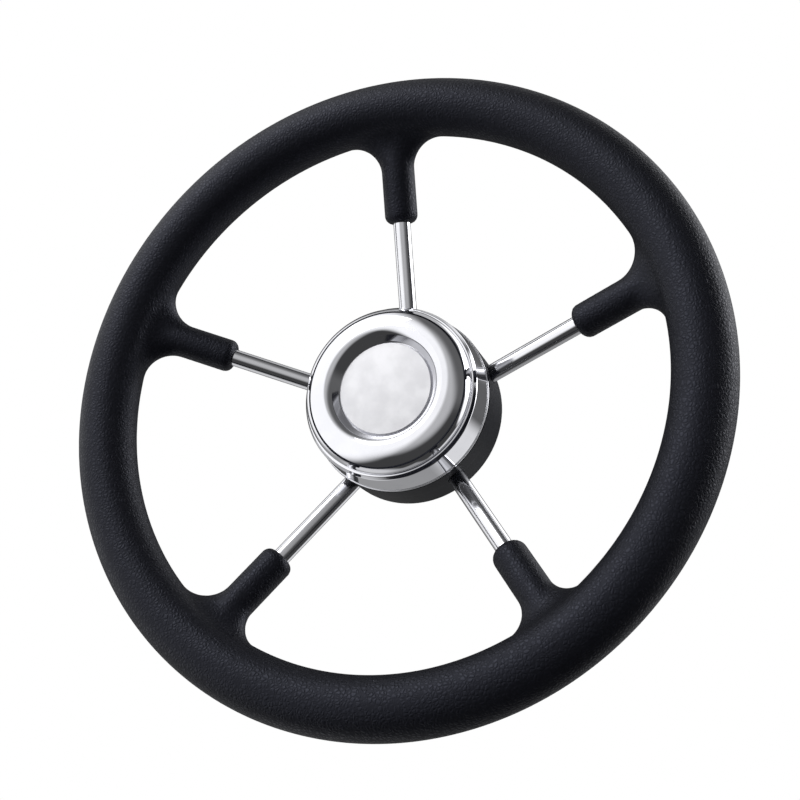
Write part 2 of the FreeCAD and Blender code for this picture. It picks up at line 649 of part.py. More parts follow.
def make_cap_carrier():
    """Moulded carrier bonded under the dome: a disc with ribs, and a spigot that enters the boss."""
    body = new_body("cap_carrier", CAP_FRONT)
    section = new_sketch(body, "carrier_section", "YZ_Plane")
    top = "(Sizes.dish_floor_depth + Sizes.cap_wall)"
    under = "(%s + Sizes.carrier_thickness)" % top
    end = "(%s + Sizes.spigot_depth)" % CAP_TO_BOSS
    bore = "(%s - Sizes.spigot_wall)" % SPIGOT_RADIUS
    groove = "(Sizes.register_diameter / 2 - Sizes.ring_clearance - Sizes.ring_section)"
    ring = "(%s + Sizes.ring_set_back)" % CAP_TO_BOSS
    half = "((Sizes.ring_section + Sizes.ring_groove_play) / 2)"
    add_outline(section, [
        (top, "0"),
        (top, "Sizes.carrier_diameter / 2"),
        (under, "Sizes.carrier_diameter / 2"),
        (under, SPIGOT_RADIUS),
        ("%s - %s" % (ring, half), SPIGOT_RADIUS),
        ("%s - %s" % (ring, half), groove),
        ("%s + %s" % (ring, half), groove),
        ("%s + %s" % (ring, half), SPIGOT_RADIUS),
        (end + " - Sizes.spigot_edge", SPIGOT_RADIUS),
        (end, SPIGOT_RADIUS + " - Sizes.spigot_edge"),
        (end, bore),
        (under, bore),
        (under, "0"),
    ])
    turn(body, "Revolution", "carrier_turning", section)
    rib_top = "(%s + Sizes.carrier_rib_drop)" % top
    rib_section = cross_sketch(body, "carrier_rib_section", rib_top)
    add_bar(rib_section, "Sizes.carrier_rib_thickness", "%s - Sizes.spigot_wall / 2" % SPIGOT_RADIUS,
            "Sizes.carrier_reach / 2")
    rib = extrude(body, "Pad", "carrier_rib", rib_section, "Sizes.cap_height - " + rib_top, other_way=True)
    repeat(body, "carrier_ribs", [rib], CARRIER_RIB_COUNT)
    return body


def make_cap_ring():
    """Rubber ring in the spigot's groove, whose grip in the register holds the cap on."""
    body = new_body("cap_ring", "(%s - %s - Sizes.ring_set_back)" % (CAP_FRONT, CAP_TO_BOSS))
    section = new_sketch(body, "ring_section", "YZ_Plane")
    centre = "Sizes.register_diameter / 2 - Sizes.ring_clearance - Sizes.ring_section / 2"
    add_circle(section, "0", centre, "Sizes.ring_section / 2")
    turn(body, "Revolution", "ring", section)
    return body


def make_cap_inlay():
    """Thin bare disc with a matt face, bonded in the cap's dish."""
    body = new_body("cap_inlay", "(%s - Sizes.dish_floor_depth + Sizes.inlay_thickness)" % CAP_FRONT)
    section = new_sketch(body, "inlay_section", "YZ_Plane")
    add_outline(section, [
        ("0", "0"),
        ("0", "Sizes.inlay_diameter / 2 - Sizes.inlay_edge"),
        ("Sizes.inlay_edge", "Sizes.inlay_diameter / 2"),
        ("Sizes.inlay_thickness", "Sizes.inlay_diameter / 2"),
        ("Sizes.inlay_thickness", "0"),
    ])
    turn(body, "Revolution", "disc", section)
    return body


pieces = [make_rim_core(), make_rim_grip()]
for number, spoke_name in enumerate(SPOKE_NAMES):
    pieces.append(make_spoke(spoke_name, number * 360.0 / SPOKE_COUNT))
pieces += [
    make_hub_boss(),
    make_hub_plate(),
    make_hub_skirt(),
    make_front_shroud(),
    make_rear_shroud(),
    make_shroud_screws(),
    make_cap_shell(),
    make_cap_carrier(),
    make_cap_ring(),
    make_cap_inlay(),
]
document.recompute()

for item in document.Objects:
    if "Invalid" in item.State or "Error" in item.State:
        raise RuntimeError("%s did not build: %s" % (item.Name, item.State))

os.makedirs("parts", exist_ok=True)
for body in pieces:
    shape = body.Shape
    if shape.isNull() or not shape.isValid() or not shape.Solids:
        raise RuntimeError(body.Label + " has no valid solid")
    shape.exportStep(os.path.join("parts", body.Label + ".step"))
    box = shape.BoundBox
    print("%-18s %d solid(s) %9.1f mm3" % (body.Label, len(shape.Solids), shape.Volume), end="")
    print("  x %7.2f %7.2f  y %7.2f %7.2f" % (box.XMin, box.XMax, box.YMin, box.YMax), end="")
    print("  z %7.2f %7.2f" % (box.ZMin, box.ZMax))
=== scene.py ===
# %% [markdown]
# A boat's steering wheel with five spokes, dressed for a studio picture. The solids come packed from
# the model of the wheel, each in its right place, and this lesson gives them their finish. Pieces
# whose surface is a mirror, or whose shape repeats, are made again here, because a mirror shows every
# flat facet. The rest keep their solids and get a material. All lengths are metres, so MM turns a
# size read off a drawing into the scene's unit.

import json
import math

import bpy
from mathutils import Matrix, Vector


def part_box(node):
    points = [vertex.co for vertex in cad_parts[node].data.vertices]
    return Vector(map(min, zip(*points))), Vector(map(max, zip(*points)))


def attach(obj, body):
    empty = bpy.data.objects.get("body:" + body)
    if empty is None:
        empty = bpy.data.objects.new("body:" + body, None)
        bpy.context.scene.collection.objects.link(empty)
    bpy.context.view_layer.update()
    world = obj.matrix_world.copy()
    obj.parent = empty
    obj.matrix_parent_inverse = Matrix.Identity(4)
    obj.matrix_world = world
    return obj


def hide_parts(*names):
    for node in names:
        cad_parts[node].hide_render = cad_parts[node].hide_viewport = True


MM = 0.001
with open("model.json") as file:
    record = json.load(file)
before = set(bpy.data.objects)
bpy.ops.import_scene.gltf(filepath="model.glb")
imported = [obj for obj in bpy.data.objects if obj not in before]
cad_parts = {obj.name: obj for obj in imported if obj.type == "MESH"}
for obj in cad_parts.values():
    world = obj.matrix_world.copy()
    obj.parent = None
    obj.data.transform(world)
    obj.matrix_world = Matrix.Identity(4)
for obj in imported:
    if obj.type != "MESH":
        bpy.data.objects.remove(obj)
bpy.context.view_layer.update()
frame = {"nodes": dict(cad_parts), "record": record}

# %% [markdown]
# The wheel turns about the Y axis and the helmsman sits on the -Y side. A few places are read from the
# solids themselves, so that what is made here stays with them: the plane of the rim, how thick the
# grip is, and how far out its ring of centres lies.

# %% Places read from the solids
core_low, core_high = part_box("rim_core")
grip_low, grip_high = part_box("rim_grip")

RIM_PLANE = (core_low.y + core_high.y) / 2
GRIP_RADIUS = RIM_PLANE - grip_low.y
RIM_RADIUS = grip_high.z - GRIP_RADIUS
SPOKE_COUNT = 5

# The spokes' axes leave the boss at one radius and height, and reach the rim a little behind its plane
SOCKET_RADIUS = 18.0 * MM
SPOKE_FOOT = -6.65 * MM
SPOKE_SET_BACK = 4.3 * MM
SPOKE_RISE = SPOKE_FOOT - (RIM_PLANE + SPOKE_SET_BACK)
SPOKE_SLOPE = math.atan2(SPOKE_RISE, RIM_RADIUS - SOCKET_RADIUS)
print("rim plane %.4f, rim radius %.4f, grip radius %.4f" % (RIM_PLANE, RIM_RADIUS, GRIP_RADIUS))

# %% [markdown]
# The camera comes first, because every finish is judged through it. It stands where the photographer
# stood: a little to the right of the wheel's axis and below it, looking up. Two angles and a distance
# from an aim point say that better than bare coordinates, and a small roll follows the tilt of the
# picture. The lens is a plain 50 mm, with no shift and no blur.

# %% Camera
AIM = Vector((10.9, -57.5, -9.6)) * MM
CAMERA_AZIMUTH = math.radians(19.89)
CAMERA_ELEVATION = math.radians(-18.45)
CAMERA_ROLL = math.radians(2.0)
CAMERA_DISTANCE = 557.7 * MM
LENS = 50.0
SENSOR_WIDTH = 36.0
NEAREST_SEEN = 10.0 * MM


def direction(azimuth, elevation):
    """Unit vector towards a place round the wheel: azimuth 0 is the helmsman's side."""
    level = math.cos(elevation)
    return Vector((math.sin(azimuth) * level, -math.cos(azimuth) * level, math.sin(elevation)))


camera = bpy.data.objects.new("camera", bpy.data.cameras.new("camera"))
bpy.context.scene.collection.objects.link(camera)
bpy.context.scene.camera = camera
camera.data.lens = LENS
camera.data.sensor_width = SENSOR_WIDTH
camera.data.clip_start = NEAREST_SEEN
back = direction(CAMERA_AZIMUTH, CAMERA_ELEVATION)
camera.location = AIM + back * CAMERA_DISTANCE
turn = (-back).to_track_quat("-Z", "Y").to_matrix() @ Matrix.Rotation(CAMERA_ROLL, 3, "Z")
camera.rotation_euler = turn.to_euler()
print("camera at", [round(value, 4) for value in camera.location])

# %% [markdown]
# Materials and Geometry Nodes are both trees of nodes. Written link by link, a formula is hard to
# read, so a small class wraps one socket and lets it be added, multiplied and compared like a number.
# The same class works in both kinds of tree, because both use the same two maths nodes.

# %% Formulas in node trees
class Term:
    """One output socket of a node tree, which works in a formula as a number or a vector."""

    def __init__(self, tree, socket):
        self.tree = tree
        self.socket = socket

    def is_vector(self):
        return self.socket.type in ("VECTOR", "RGBA")

    def __add__(self, other):
        return maths(self.tree, "ADD", self, other)

    def __sub__(self, other):
        return maths(self.tree, "SUBTRACT", self, other)

    def __rsub__(self, other):
        return maths(self.tree, "SUBTRACT", other, self)

    def __mul__(self, other):
        return maths(self.tree, "MULTIPLY", self, other)

    def __truediv__(self, other):
        return maths(self.tree, "DIVIDE", self, other)

    def __neg__(self):
        return self * -1.0


def plug(tree, socket, value):
    """Links a term to an input socket, or writes a plain value there."""
    if isinstance(value, Term):
        tree.links.new(value.socket, socket)
    else:
        socket.default_value = value


def holds_vector(value):
    return value.is_vector() if isinstance(value, Term) else isinstance(value, Vector)


def maths(tree, operation, *values):
    """A maths node. It works on vectors where one of the values is a vector."""
    vectors = [holds_vector(value) for value in values]
    node = tree.nodes.new("ShaderNodeVectorMath" if any(vectors) else "ShaderNodeMath")
    if any(vectors) and not all(vectors) and operation == "MULTIPLY":
        node.operation = "SCALE"
        vector, factor = values if vectors[0] else reversed(values)
        plug(tree, node.inputs[0], vector)
        plug(tree, node.inputs["Scale"], factor)
    else:
        node.operation = operation
        for socket, value in zip(node.inputs, values):
            plug(tree, socket, value)
    single = operation in ("DOT_PRODUCT", "LENGTH")
    return Term(tree, node.outputs["Value" if single else 0])


print("terms ready")

# %% [markdown]
# Some formulas come back so often that they get a name of their own: the length of a vector, the way it
# points, the larger of two numbers. Each makes one node or a handful, so the trees stay as they read.

# %% Names for common formulas
def length(vector):
    return maths(vector.tree, "LENGTH", vector)


def unit(vector):
    return maths(vector.tree, "NORMALIZE", vector)


def dot(first, second):
    return maths(first.tree, "DOT_PRODUCT", first, second)


def larger(first, second):
    return maths(first.tree, "MAXIMUM", first, second)


def smaller(first, second):
    return maths(first.tree, "MINIMUM", first, second)


def above(first, second):
    """1 where first is more than second, and 0 elsewhere."""
    return maths(first.tree, "GREATER_THAN", first, second)


def hypotenuse(first, second):
    return maths(first.tree, "SQRT", first * first + second * second)


def split(vector):
    """The three parts of a vector."""
    node = vector.tree.nodes.new("ShaderNodeSeparateXYZ")
    plug(vector.tree, node.inputs[0], vector)
    return [Term(vector.tree, socket) for socket in node.outputs]


def joined(tree, x, y, z):
    """A vector made of three parts."""
    node = tree.nodes.new("ShaderNodeCombineXYZ")
    for socket, value in zip(node.inputs, (x, y, z)):
        plug(tree, socket, value)
    return Term(tree, node.outputs[0])


def add_node(tree, kind, inputs=None, **settings):
    """A node with its settings made and its inputs linked or written, by name."""
    node = tree.nodes.new(kind)
    for name, value in settings.items():
        setattr(node, name, value)
    for name, value in (inputs or {}).items():
        plug(tree, node.inputs[name], value)
    return node


print("formula helpers ready")

# %% [markdown]
# A Geometry Nodes tree is like a recipe with named amounts. The first helper makes the recipe's card,
# with one named input for each size, and the second writes its last lines, where copies become real
# geometry and get their material.

# %% Starting and ending a tree
SOCKET_KINDS = {int: "NodeSocketInt", float: "NodeSocketFloat", Vector: "NodeSocketVector"}


def new_tree(name, sizes):
    """A tree with geometry in and out, and a named input for each size. Returns its inputs too."""
    tree = bpy.data.node_groups.new(name, "GeometryNodeTree")
    tree.interface.new_socket("Geometry", in_out="INPUT", socket_type="NodeSocketGeometry")
    tree.interface.new_socket("Geometry", in_out="OUTPUT", socket_type="NodeSocketGeometry")
    for label, value in sizes.items():
        tree.interface.new_socket(label, in_out="INPUT", socket_type=SOCKET_KINDS[type(value)])
    start = tree.nodes.new("NodeGroupInput")
    return tree, {socket.name: Term(tree, socket) for socket in start.outputs if socket.name}


def end_tree(tree, geometry, material):
    """Ends a tree: real geometry, with its material."""
    real = add_node(tree, "GeometryNodeRealizeInstances", {"Geometry": geometry})
    painted = add_node(tree, "GeometryNodeSetMaterial",
                       {"Geometry": Term(tree, real.outputs[0]), "Material": material})
    end = tree.nodes.new("NodeGroupOutput")
    tree.links.new(painted.outputs[0], end.inputs["Geometry"])


print("tree helpers ready")

# %% [markdown]
# Then the recipe is cooked: the tree runs once on an empty object and the result is kept as a plain mesh,
# because a finished piece should carry no live modifier. A piece also has to say which body of the wheel
# it rides on and which solids it stands for.

# %% Baking and placing a piece
def bake(name, tree, sizes):
    """Runs a tree once, on an empty mesh, and keeps the result as a plain piece."""
    piece = bpy.data.objects.new(name, bpy.data.meshes.new(name))
    bpy.context.scene.collection.objects.link(piece)
    modifier = piece.modifiers.new("tree", "NODES")
    modifier.node_group = tree
    for item in tree.interface.items_tree:
        if item.in_out == "INPUT" and item.name in sizes:
            modifier[item.identifier] = sizes[item.name]
    bpy.context.view_layer.update()
    evaluated = piece.evaluated_get(bpy.context.evaluated_depsgraph_get())
    result = bpy.data.meshes.new_from_object(evaluated)
    piece.modifiers.remove(modifier)
    piece.data = result
    result.name = name
    print(name, "faces:", len(result.polygons))
    return piece


def place_piece(piece, body, slot, *replaced):
    """Says which body a piece rides on and which solids it stands for. The slot is not used."""
    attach(piece, body)
    if replaced:
        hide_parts(*replaced)


print("baking ready")

# %% [markdown]
# Finishes share some effects, and each effect is a node group that every material places with its own
# values. These helpers write a group, and name the two nodes that most effects are made of: a noise, and
# an easing from one value to another.

# %% Helpers for effects
def new_group(name, inputs, outputs):
    """A shader node group with named numbers in and out. Returns its inputs and its place term."""
    tree = bpy.data.node_groups.new(name, "ShaderNodeTree")
    for label, value in inputs.items():
        socket = tree.interface.new_socket(label, in_out="INPUT", socket_type="NodeSocketFloat")
        socket.default_value = value
    for label in outputs:
        tree.interface.new_socket(label, in_out="OUTPUT", socket_type="NodeSocketFloat")
    start = tree.nodes.new("NodeGroupInput")
    place = Term(tree, tree.nodes.new("ShaderNodeTexCoord").outputs["Object"])
    return tree, {socket.name: Term(tree, socket) for socket in start.outputs if socket.name}, place


def end_group(tree, results):
    end = tree.nodes.new("NodeGroupOutput")
    for label, value in results.items():
        plug(tree, end.inputs[label], value)


def noise(tree, place, scale, detail=2.0, roughness=0.5):
    node = add_node(tree, "ShaderNodeTexNoise",
                    {"Vector": place, "Scale": scale, "Detail": detail, "Roughness": roughness})
    return Term(tree, node.outputs["Fac"])


def between(tree, value, low, high, start=0.0, end=1.0):
    """Eases from low to high while value goes from start to end."""
    node = add_node(tree, "ShaderNodeMapRange", {
        "Value": value, "From Min": start, "From Max": end, "To Min": low, "To Max": high,
    }, interpolation_type="SMOOTHSTEP")
    return Term(tree, node.outputs["Result"])


print("effect helpers ready")

# %% [markdown]
# With the next helpers a finish reads as a short recipe: what changes over the surface, between which
# two values, and how deep its relief is. What stays the same everywhere is written on the shader's own
# sockets, where it is easy to find.

# %% Helpers for materials
def ramp(tree, value, *stops):
    """Colours at places along value, blended between."""
    node = add_node(tree, "ShaderNodeValToRGB", {"Fac": value})
    band = node.color_ramp
    band.elements[0].position, band.elements[0].color = stops[0][0], (*stops[0][1], 1.0)
    band.elements[1].position, band.elements[1].color = stops[-1][0], (*stops[-1][1], 1.0)
    for position, colour in stops[1:-1]:
        band.elements.new(position).color = (*colour, 1.0)
    return Term(tree, node.outputs["Color"])


def bump(tree, height, distance, strength=1.0, under=None):
    """The surface's normal, tipped by a height map whose full height is distance."""
    node = add_node(tree, "ShaderNodeBump",
                    {"Height": height, "Distance": distance, "Strength": strength})
    if under is not None:
        plug(tree, node.inputs["Normal"], under)
    return Term(tree, node.outputs["Normal"])


def use_group(tree, name, values):
    """Places a shared effect in a material. Returns its outputs by name."""
    node = tree.nodes.new("ShaderNodeGroup")
    node.node_tree = bpy.data.node_groups[name]
    for label, value in values.items():
        plug(tree, node.inputs[label], value)
    return {socket.name: Term(tree, socket) for socket in node.outputs}


def new_material(name, fixed, wired):
    """A material whose plain values are fixed on the shader, with wired(tree) giving the rest."""
    material = bpy.data.materials.new(name)
    material.use_nodes = True
    tree = material.node_tree
    shader = tree.nodes["Principled BSDF"]
    for label, value in fixed.items():
        shader.inputs[label].default_value = value
    for label, value in wired(tree).items():
        plug(tree, shader.inputs[label], value)
    print("finish:", name)
    return material


print("material helpers ready")

# %% [markdown]
# The first effect is the pebbled skin of moulded foam: rounded cells with creases between them, like
# leather. A Voronoi texture gives the cells, a little noise bends their borders so that they don't
# look like a honeycomb, and each cell gets its own height. It is measured in the object's own
# coordinates, so the grain is as large on the rim as on the sleeves.

# %% Effect: pebbled skin
# How finely the cells' borders wander and how far, in cells, and how wide the creases are
DRIFT_SCALE = 0.6
DRIFT = 0.9
CREASE_WIDTH = 0.32
# How high the lowest pebble and the pores are beside the highest pebble, and how fine the pores are
LOWEST_PEBBLE = 0.55
PORES = 0.16
PORE_SCALE = 5.0
tree, size, place = new_group("Pebbled skin", {"Pebbles per Metre": 700.0}, ["Height", "Crease"])
pebbles = size["Pebbles per Metre"]
drift = add_node(tree, "ShaderNodeTexNoise",
                 {"Vector": place, "Scale": pebbles * DRIFT_SCALE, "Detail": 2.0})
drift = Term(tree, drift.outputs["Color"]) - Vector((0.5, 0.5, 0.5))
bent_place = place + drift * maths(tree, "DIVIDE", DRIFT, pebbles)
border = add_node(tree, "ShaderNodeTexVoronoi", {"Vector": bent_place, "Scale": pebbles},
                  feature="DISTANCE_TO_EDGE")
cell = add_node(tree, "ShaderNodeTexVoronoi", {"Vector": bent_place, "Scale": pebbles})
cell_height = split(Term(tree, cell.outputs["Color"]))[0]
swell = between(tree, Term(tree, border.outputs["Distance"]), 0.0, 1.0, end=CREASE_WIDTH)
fine = noise(tree, place, pebbles * PORE_SCALE)
end_group(tree, {
    "Height": swell * (cell_height * (1.0 - LOWEST_PEBBLE) + LOWEST_PEBBLE) + fine * PORES,
    "Crease": 1.0 - swell,
})
print("effect: pebbled skin")

# %% [markdown]
# Turned and spun metal keeps fine lines that run round its axis. Noise shows that if it changes
# quickly along the radius and the depth and slowly round the axis, so the group feeds it those three
# numbers. The way round is a sine and a cosine, which meet again after a full turn, where a bare angle
# would leave a seam. Its second output is a slow cloud, for the haze that hands and cloths leave.

# %% Effect: spun lines
# How much the lines change on their way round, and how many clouds of haze lie in a metre
CHANGE_ROUND = 3.0
HAZE_PER_METRE = 38.0
tree, size, place = new_group("Spun lines", {"Lines per Metre": 3000.0}, ["Height", "Haze"])
x, y, z = split(place)
from_axis = hypotenuse(x, z)
lines = size["Lines per Metre"]
way_round = joined(tree, from_axis * lines, x / from_axis * CHANGE_ROUND, z / from_axis * CHANGE_ROUND)
spun = add_node(tree, "ShaderNodeTexNoise", {
    "Vector": way_round, "W": y * lines, "Scale": 1.0, "Detail": 3.0, "Roughness": 0.6,
}, noise_dimensions="4D")
haze = noise(tree, place, HAZE_PER_METRE, detail=4.0, roughness=0.6)
end_group(tree, {
    "Height": Term(tree, spun.outputs["Fac"]),
    "Haze": between(tree, haze, 0.0, 1.0, start=0.35, end=0.7),
})
print("effect: spun lines")

# %% [markdown]
# Black mouldings come out of a spark-eroded mould, which leaves a fine even grain, and their outer
# edges are rubbed a little shinier than the faces. The Bevel node finds edges: where its rounded
# normal differs from the true one, an edge is near. That works on any mesh, also on solids made of
# loose triangles.

# %% Effects: moulded grain and rubbed edges
CLOUDS_PER_GRAIN = 0.02
RUBBED_PATCHES_PER_METRE = 220.0
tree, size, place = new_group("Moulded grain", {"Grains per Metre": 2500.0}, ["Height", "Cloud"])
grains = noise(tree, place, size["Grains per Metre"], detail=3.0, roughness=0.65)
cloud = noise(tree, place, size["Grains per Metre"] * CLOUDS_PER_GRAIN, detail=4.0)
end_group(tree, {"Height": grains, "Cloud": between(tree, cloud, 0.0, 1.0, start=0.3, end=0.7)})

tree, size, place = new_group("Rubbed edges", {"Width": 0.4 * MM}, ["Mask"])
softened = add_node(tree, "ShaderNodeBevel", {"Radius": size["Width"]}, samples=4)
true_normal = Term(tree, tree.nodes.new("ShaderNodeNewGeometry").outputs["Normal"])
bend = 1.0 - dot(Term(tree, softened.outputs["Normal"]), true_normal)
patches = noise(tree, place, RUBBED_PATCHES_PER_METRE, detail=3.0)
end_group(tree, {"Mask": between(tree, bend * (patches + 0.5), 0.0, 1.0, start=0.02, end=0.2)})
print("effects: moulded grain, rubbed edges")

# %% [markdown]
# The grip's skin is tough and slightly glossy, and its creases are duller than the pebbles between
# them and painted darker, as painted shade. The black is written deeper than it looks, and slightly
# blue, because most of the grey that the eye sees on such a skin is the room in its gloss, and the
# shader adds that by itself.

# %% Finish: grained black grip
PEBBLES_PER_METRE = 520.0
PEBBLE_DEPTH = 0.19 * MM
HANDLED_AREAS_PER_METRE = 24.0
GRIP_BLACK = (0.0036, 0.0038, 0.0060)
# Painted shade: the creases are coloured darker than the pebbles
CREASE_SHADE_BLACK = (0.0018, 0.0019, 0.0030)
GRIP_REFLECTION = (0.74, 0.78, 1.0, 1.0)


def wire_grip(tree):
    skin = use_group(tree, "Pebbled skin", {"Pebbles per Metre": PEBBLES_PER_METRE})
    place = Term(tree, tree.nodes.new("ShaderNodeTexCoord").outputs["Object"])
    handled = noise(tree, place, HANDLED_AREAS_PER_METRE, detail=4.0)
    duller = between(tree, handled, 0.0, 1.0, start=0.3, end=0.7) * 0.05
    return {
        # The creases' darker colour is painted shade
        "Base Color": ramp(tree, skin["Crease"], (0.0, GRIP_BLACK), (1.0, CREASE_SHADE_BLACK)),
        "Roughness": between(tree, skin["Crease"], 0.37, 0.53) + duller,
        "Normal": bump(tree, skin["Height"], PEBBLE_DEPTH, 0.8),
    }


grip_finish = new_material("grained_grip", {
    "Specular IOR Level": 0.38, "IOR": 1.45, "Specular Tint": GRIP_REFLECTION,
}, wire_grip)

# %% [markdown]
# The grip is one soft moulding of black foam with a tough skin: a ring with five sleeves that run down
# the spokes, each flowing into the ring through a wide web. Nothing in it is flat, and it follows a
# rule, so a field of distances can describe it. At any place we know how far it is from the ring and
# from the nearest sleeve. A web is what a ball leaves free when it rolls along the corner between the
# two and touches both, so the field looks for that ball's centre and measures to the ball instead.
# The tree fills a block of small cells with this field, and Volume to Mesh draws the skin through it.

# %% Distances from the ring and the sleeves
SLEEVE_RADIUS = 9.1 * MM
SLEEVE_END_RADIUS = 102.2 * MM
SLEEVE_ROUNDING = 4.3 * MM
WEB_ROUNDING = 16.0 * MM


def grip_distances(tree, size, place):
    """How far place is from the ring and from the nearest sleeve, which way is out from each, and how
    far place lies along that sleeve."""
    x, y, z = split(place)
    from_axis = hypotenuse(x, z)
    outward = joined(tree, x / from_axis, 0.0, z / from_axis)
    from_centre = joined(tree, x, y - size["Rim Plane"], z)
    to_ring = from_centre - outward * size["Rim Radius"]
    bay = 2.0 * math.pi / SPOKE_COUNT
    nearest = maths(tree, "ROUND", maths(tree, "ARCTAN2", x, z) / bay) * bay
    spoke = joined(tree, maths(tree, "SINE", nearest), 0.0, maths(tree, "COSINE", nearest))
    fall = maths(tree, "SINE", size["Slope"])
    run = maths(tree, "COSINE", size["Slope"])
    inward = joined(tree, 0.0, fall, 0.0) - spoke * run
    root = spoke * size["Rim Radius"] + joined(tree, 0.0, size["Set Back"], 0.0)
    to_root = from_centre - root
    along = dot(to_root, inward)
    to_sleeve = to_root - inward * larger(along, 0.0)
    ring = length(to_ring) - size["Grip Radius"]
    sleeve = length(to_sleeve) - size["Sleeve Radius"]
    return ring, sleeve, unit(to_ring), unit(to_sleeve), along


print("distances ready")

# %% [markdown]
# At each place the tree guesses where the rolling ball's centre is: from here, so far out from the ring
# and so far out from the sleeve that both distances become the ball's radius. Two such steps come close
# enough. The place lies in a web where it is on the inner side of both, as seen from the ball, and where
# the guess has settled. Beyond the sleeve's end the field is that of a cylinder with a rounded edge.

# %% The field of the whole grip
BALL_STEPS = 2
# Where the ball's centre still misses by more than this there is no web
BALL_MISS = 3.0 * MM
# Where the two ways out nearly agree the steps would grow without end, so the squared sine of the angle
# between them counts as at least this
LEAST_SQUARE = 0.35


def shares(ring_part, sleeve_part, lean):
    """How far to go along each way out, so that both distances change by the parts asked for."""
    square = larger(1.0 - lean * lean, LEAST_SQUARE)
    return (ring_part - sleeve_part * lean) / square, (sleeve_part - ring_part * lean) / square


grip_sizes = {
    "Rim Plane": RIM_PLANE,
    "Rim Radius": RIM_RADIUS,
    "Grip Radius": GRIP_RADIUS,
    "Sleeve Radius": SLEEVE_RADIUS,
    "Sleeve Length": (RIM_RADIUS - SLEEVE_END_RADIUS) / math.cos(SPOKE_SLOPE),
    "Sleeve Rounding": SLEEVE_ROUNDING,
    "Web Rounding": WEB_ROUNDING,
    "Slope": SPOKE_SLOPE,
    "Set Back": SPOKE_SET_BACK,
}
tree, size = new_tree("Rim grip", grip_sizes)
place = Term(tree, tree.nodes.new("GeometryNodeInputPosition").outputs[0])
ring, sleeve, ring_out, sleeve_out, along = grip_distances(tree, size, place)
plain = smaller(ring, sleeve)
ball = size["Web Rounding"]
centre = place
ball_ring, ball_sleeve, ball_ring_out, ball_sleeve_out = ring, sleeve, ring_out, sleeve_out
for step in range(BALL_STEPS):
    lean = dot(ball_ring_out, ball_sleeve_out)
    ring_share, sleeve_share = shares(ball - ball_ring, ball - ball_sleeve, lean)
    centre = centre + ball_ring_out * ring_share + ball_sleeve_out * sleeve_share
    ball_ring, ball_sleeve, ball_ring_out, ball_sleeve_out, _ = grip_distances(tree, size, centre)
to_ball = centre - place
ring_share, sleeve_share = shares(dot(to_ball, ball_ring_out), dot(to_ball, ball_sleeve_out),
                                  dot(ball_ring_out, ball_sleeve_out))
web = smaller(plain, ball - length(to_ball))
miss = larger(maths(tree, "ABSOLUTE", ball - ball_ring), maths(tree, "ABSOLUTE", ball - ball_sleeve))
settled = maths(tree, "LESS_THAN", miss, BALL_MISS)
in_web = above(smaller(ring_share, sleeve_share), 0.0) * settled
body = plain + (web - plain) * in_web
beyond = along - size["Sleeve Length"]
rounding = size["Sleeve Rounding"]
edge = hypotenuse(larger(rounding + body, 0.0), larger(rounding + beyond, 0.0))
distance = smaller(larger(body, beyond), -rounding) + edge
print("field ready, sleeves %.1f mm long" % (grip_sizes["Sleeve Length"] / MM))

# %% [markdown]
# The field now becomes a skin. A block a little larger than the grip is filled with small cells, each
# holding how deep it lies, and the mesh is drawn where that number passes 1. Small cells cost memory but
# keep the webs smooth, and cells well outside the skin are left empty.

# %% The grip's skin
CELL = 1.3 * MM
# How far outside the skin the field is kept, in cells
FIELD_REACH = 3.0
reach = FIELD_REACH * CELL
density = larger(1.0 - distance / reach, 0.0)
margin = Vector((1.0, 1.0, 1.0)) * reach
block_low, block_high = grip_low - margin, grip_high + margin
cells = [math.ceil(side / CELL) for side in block_high - block_low]
block = add_node(tree, "GeometryNodeVolumeCube", {
    "Density": density, "Min": block_low, "Max": block_high,
    "Resolution X": cells[0], "Resolution Y": cells[1], "Resolution Z": cells[2],
})
skin = add_node(tree, "GeometryNodeVolumeToMesh",
                {"Volume": Term(tree, block.outputs[0]), "Threshold": 1.0}, resolution_mode="GRID")
smooth = add_node(tree, "GeometryNodeSetShadeSmooth", {"Geometry": Term(tree, skin.outputs[0])})
end_tree(tree, Term(tree, smooth.outputs[0]), grip_finish)
grip = bake("grip_skin", tree, grip_sizes)
place_piece(grip, "wheel", "grip", "rim_grip")
print("cells", cells)

# %% [markdown]
# The spokes are polished bars. The polisher's wheel runs along a bar and so do its fine lines, so each
# point of a bar keeps its place on it, which is how far along it is and where it is round it. The finish
# reads that place instead of the object's coordinates, and looks the same on all five.

# %% Finish: bars polished along their length
BAR_STEEL = (0.88, 0.885, 0.92)
BAR_STEEL_HAZY = (0.82, 0.825, 0.86)
# How many lines lie in a metre along the bar and across it, and how many dents
LINES_ALONG = 30.0
LINES_ACROSS = 900.0
DENTS = 60.0


def wire_bars(tree):
    bar = add_node(tree, "ShaderNodeAttribute", attribute_name="bar_place")
    along, across, up = split(Term(tree, bar.outputs["Vector"]))
    stretched = joined(tree, along * LINES_ALONG, across * LINES_ACROSS, up * LINES_ACROSS)
    lines = noise(tree, stretched, 1.0, detail=3.0)
    dents = noise(tree, joined(tree, along * DENTS, across * DENTS, up * DENTS), 1.0, detail=1.0)
    haze = use_group(tree, "Spun lines", {"Lines per Metre": 2000.0})["Haze"]
    return {
        "Base Color": ramp(tree, haze, (0.0, BAR_STEEL), (1.0, BAR_STEEL_HAZY)),
        "Roughness": between(tree, lines, 0.07, 0.17, start=0.3, end=0.7) + haze * 0.04,
        "Normal": bump(tree, lines, 0.004 * MM, 0.5, under=bump(tree, dents, 0.03 * MM, 0.3)),
    }


bar_finish = new_material("polished_bar", {"Metallic": 1.0}, wire_bars)

# %% [markdown]
# Five round bars join the rim to the boss. One bar is a straight line, cut into spans and given a round
# section. The two marks that make up a point's place are captured before the line and the circle become
# a mesh, because afterwards nothing tells which way the bar runs.

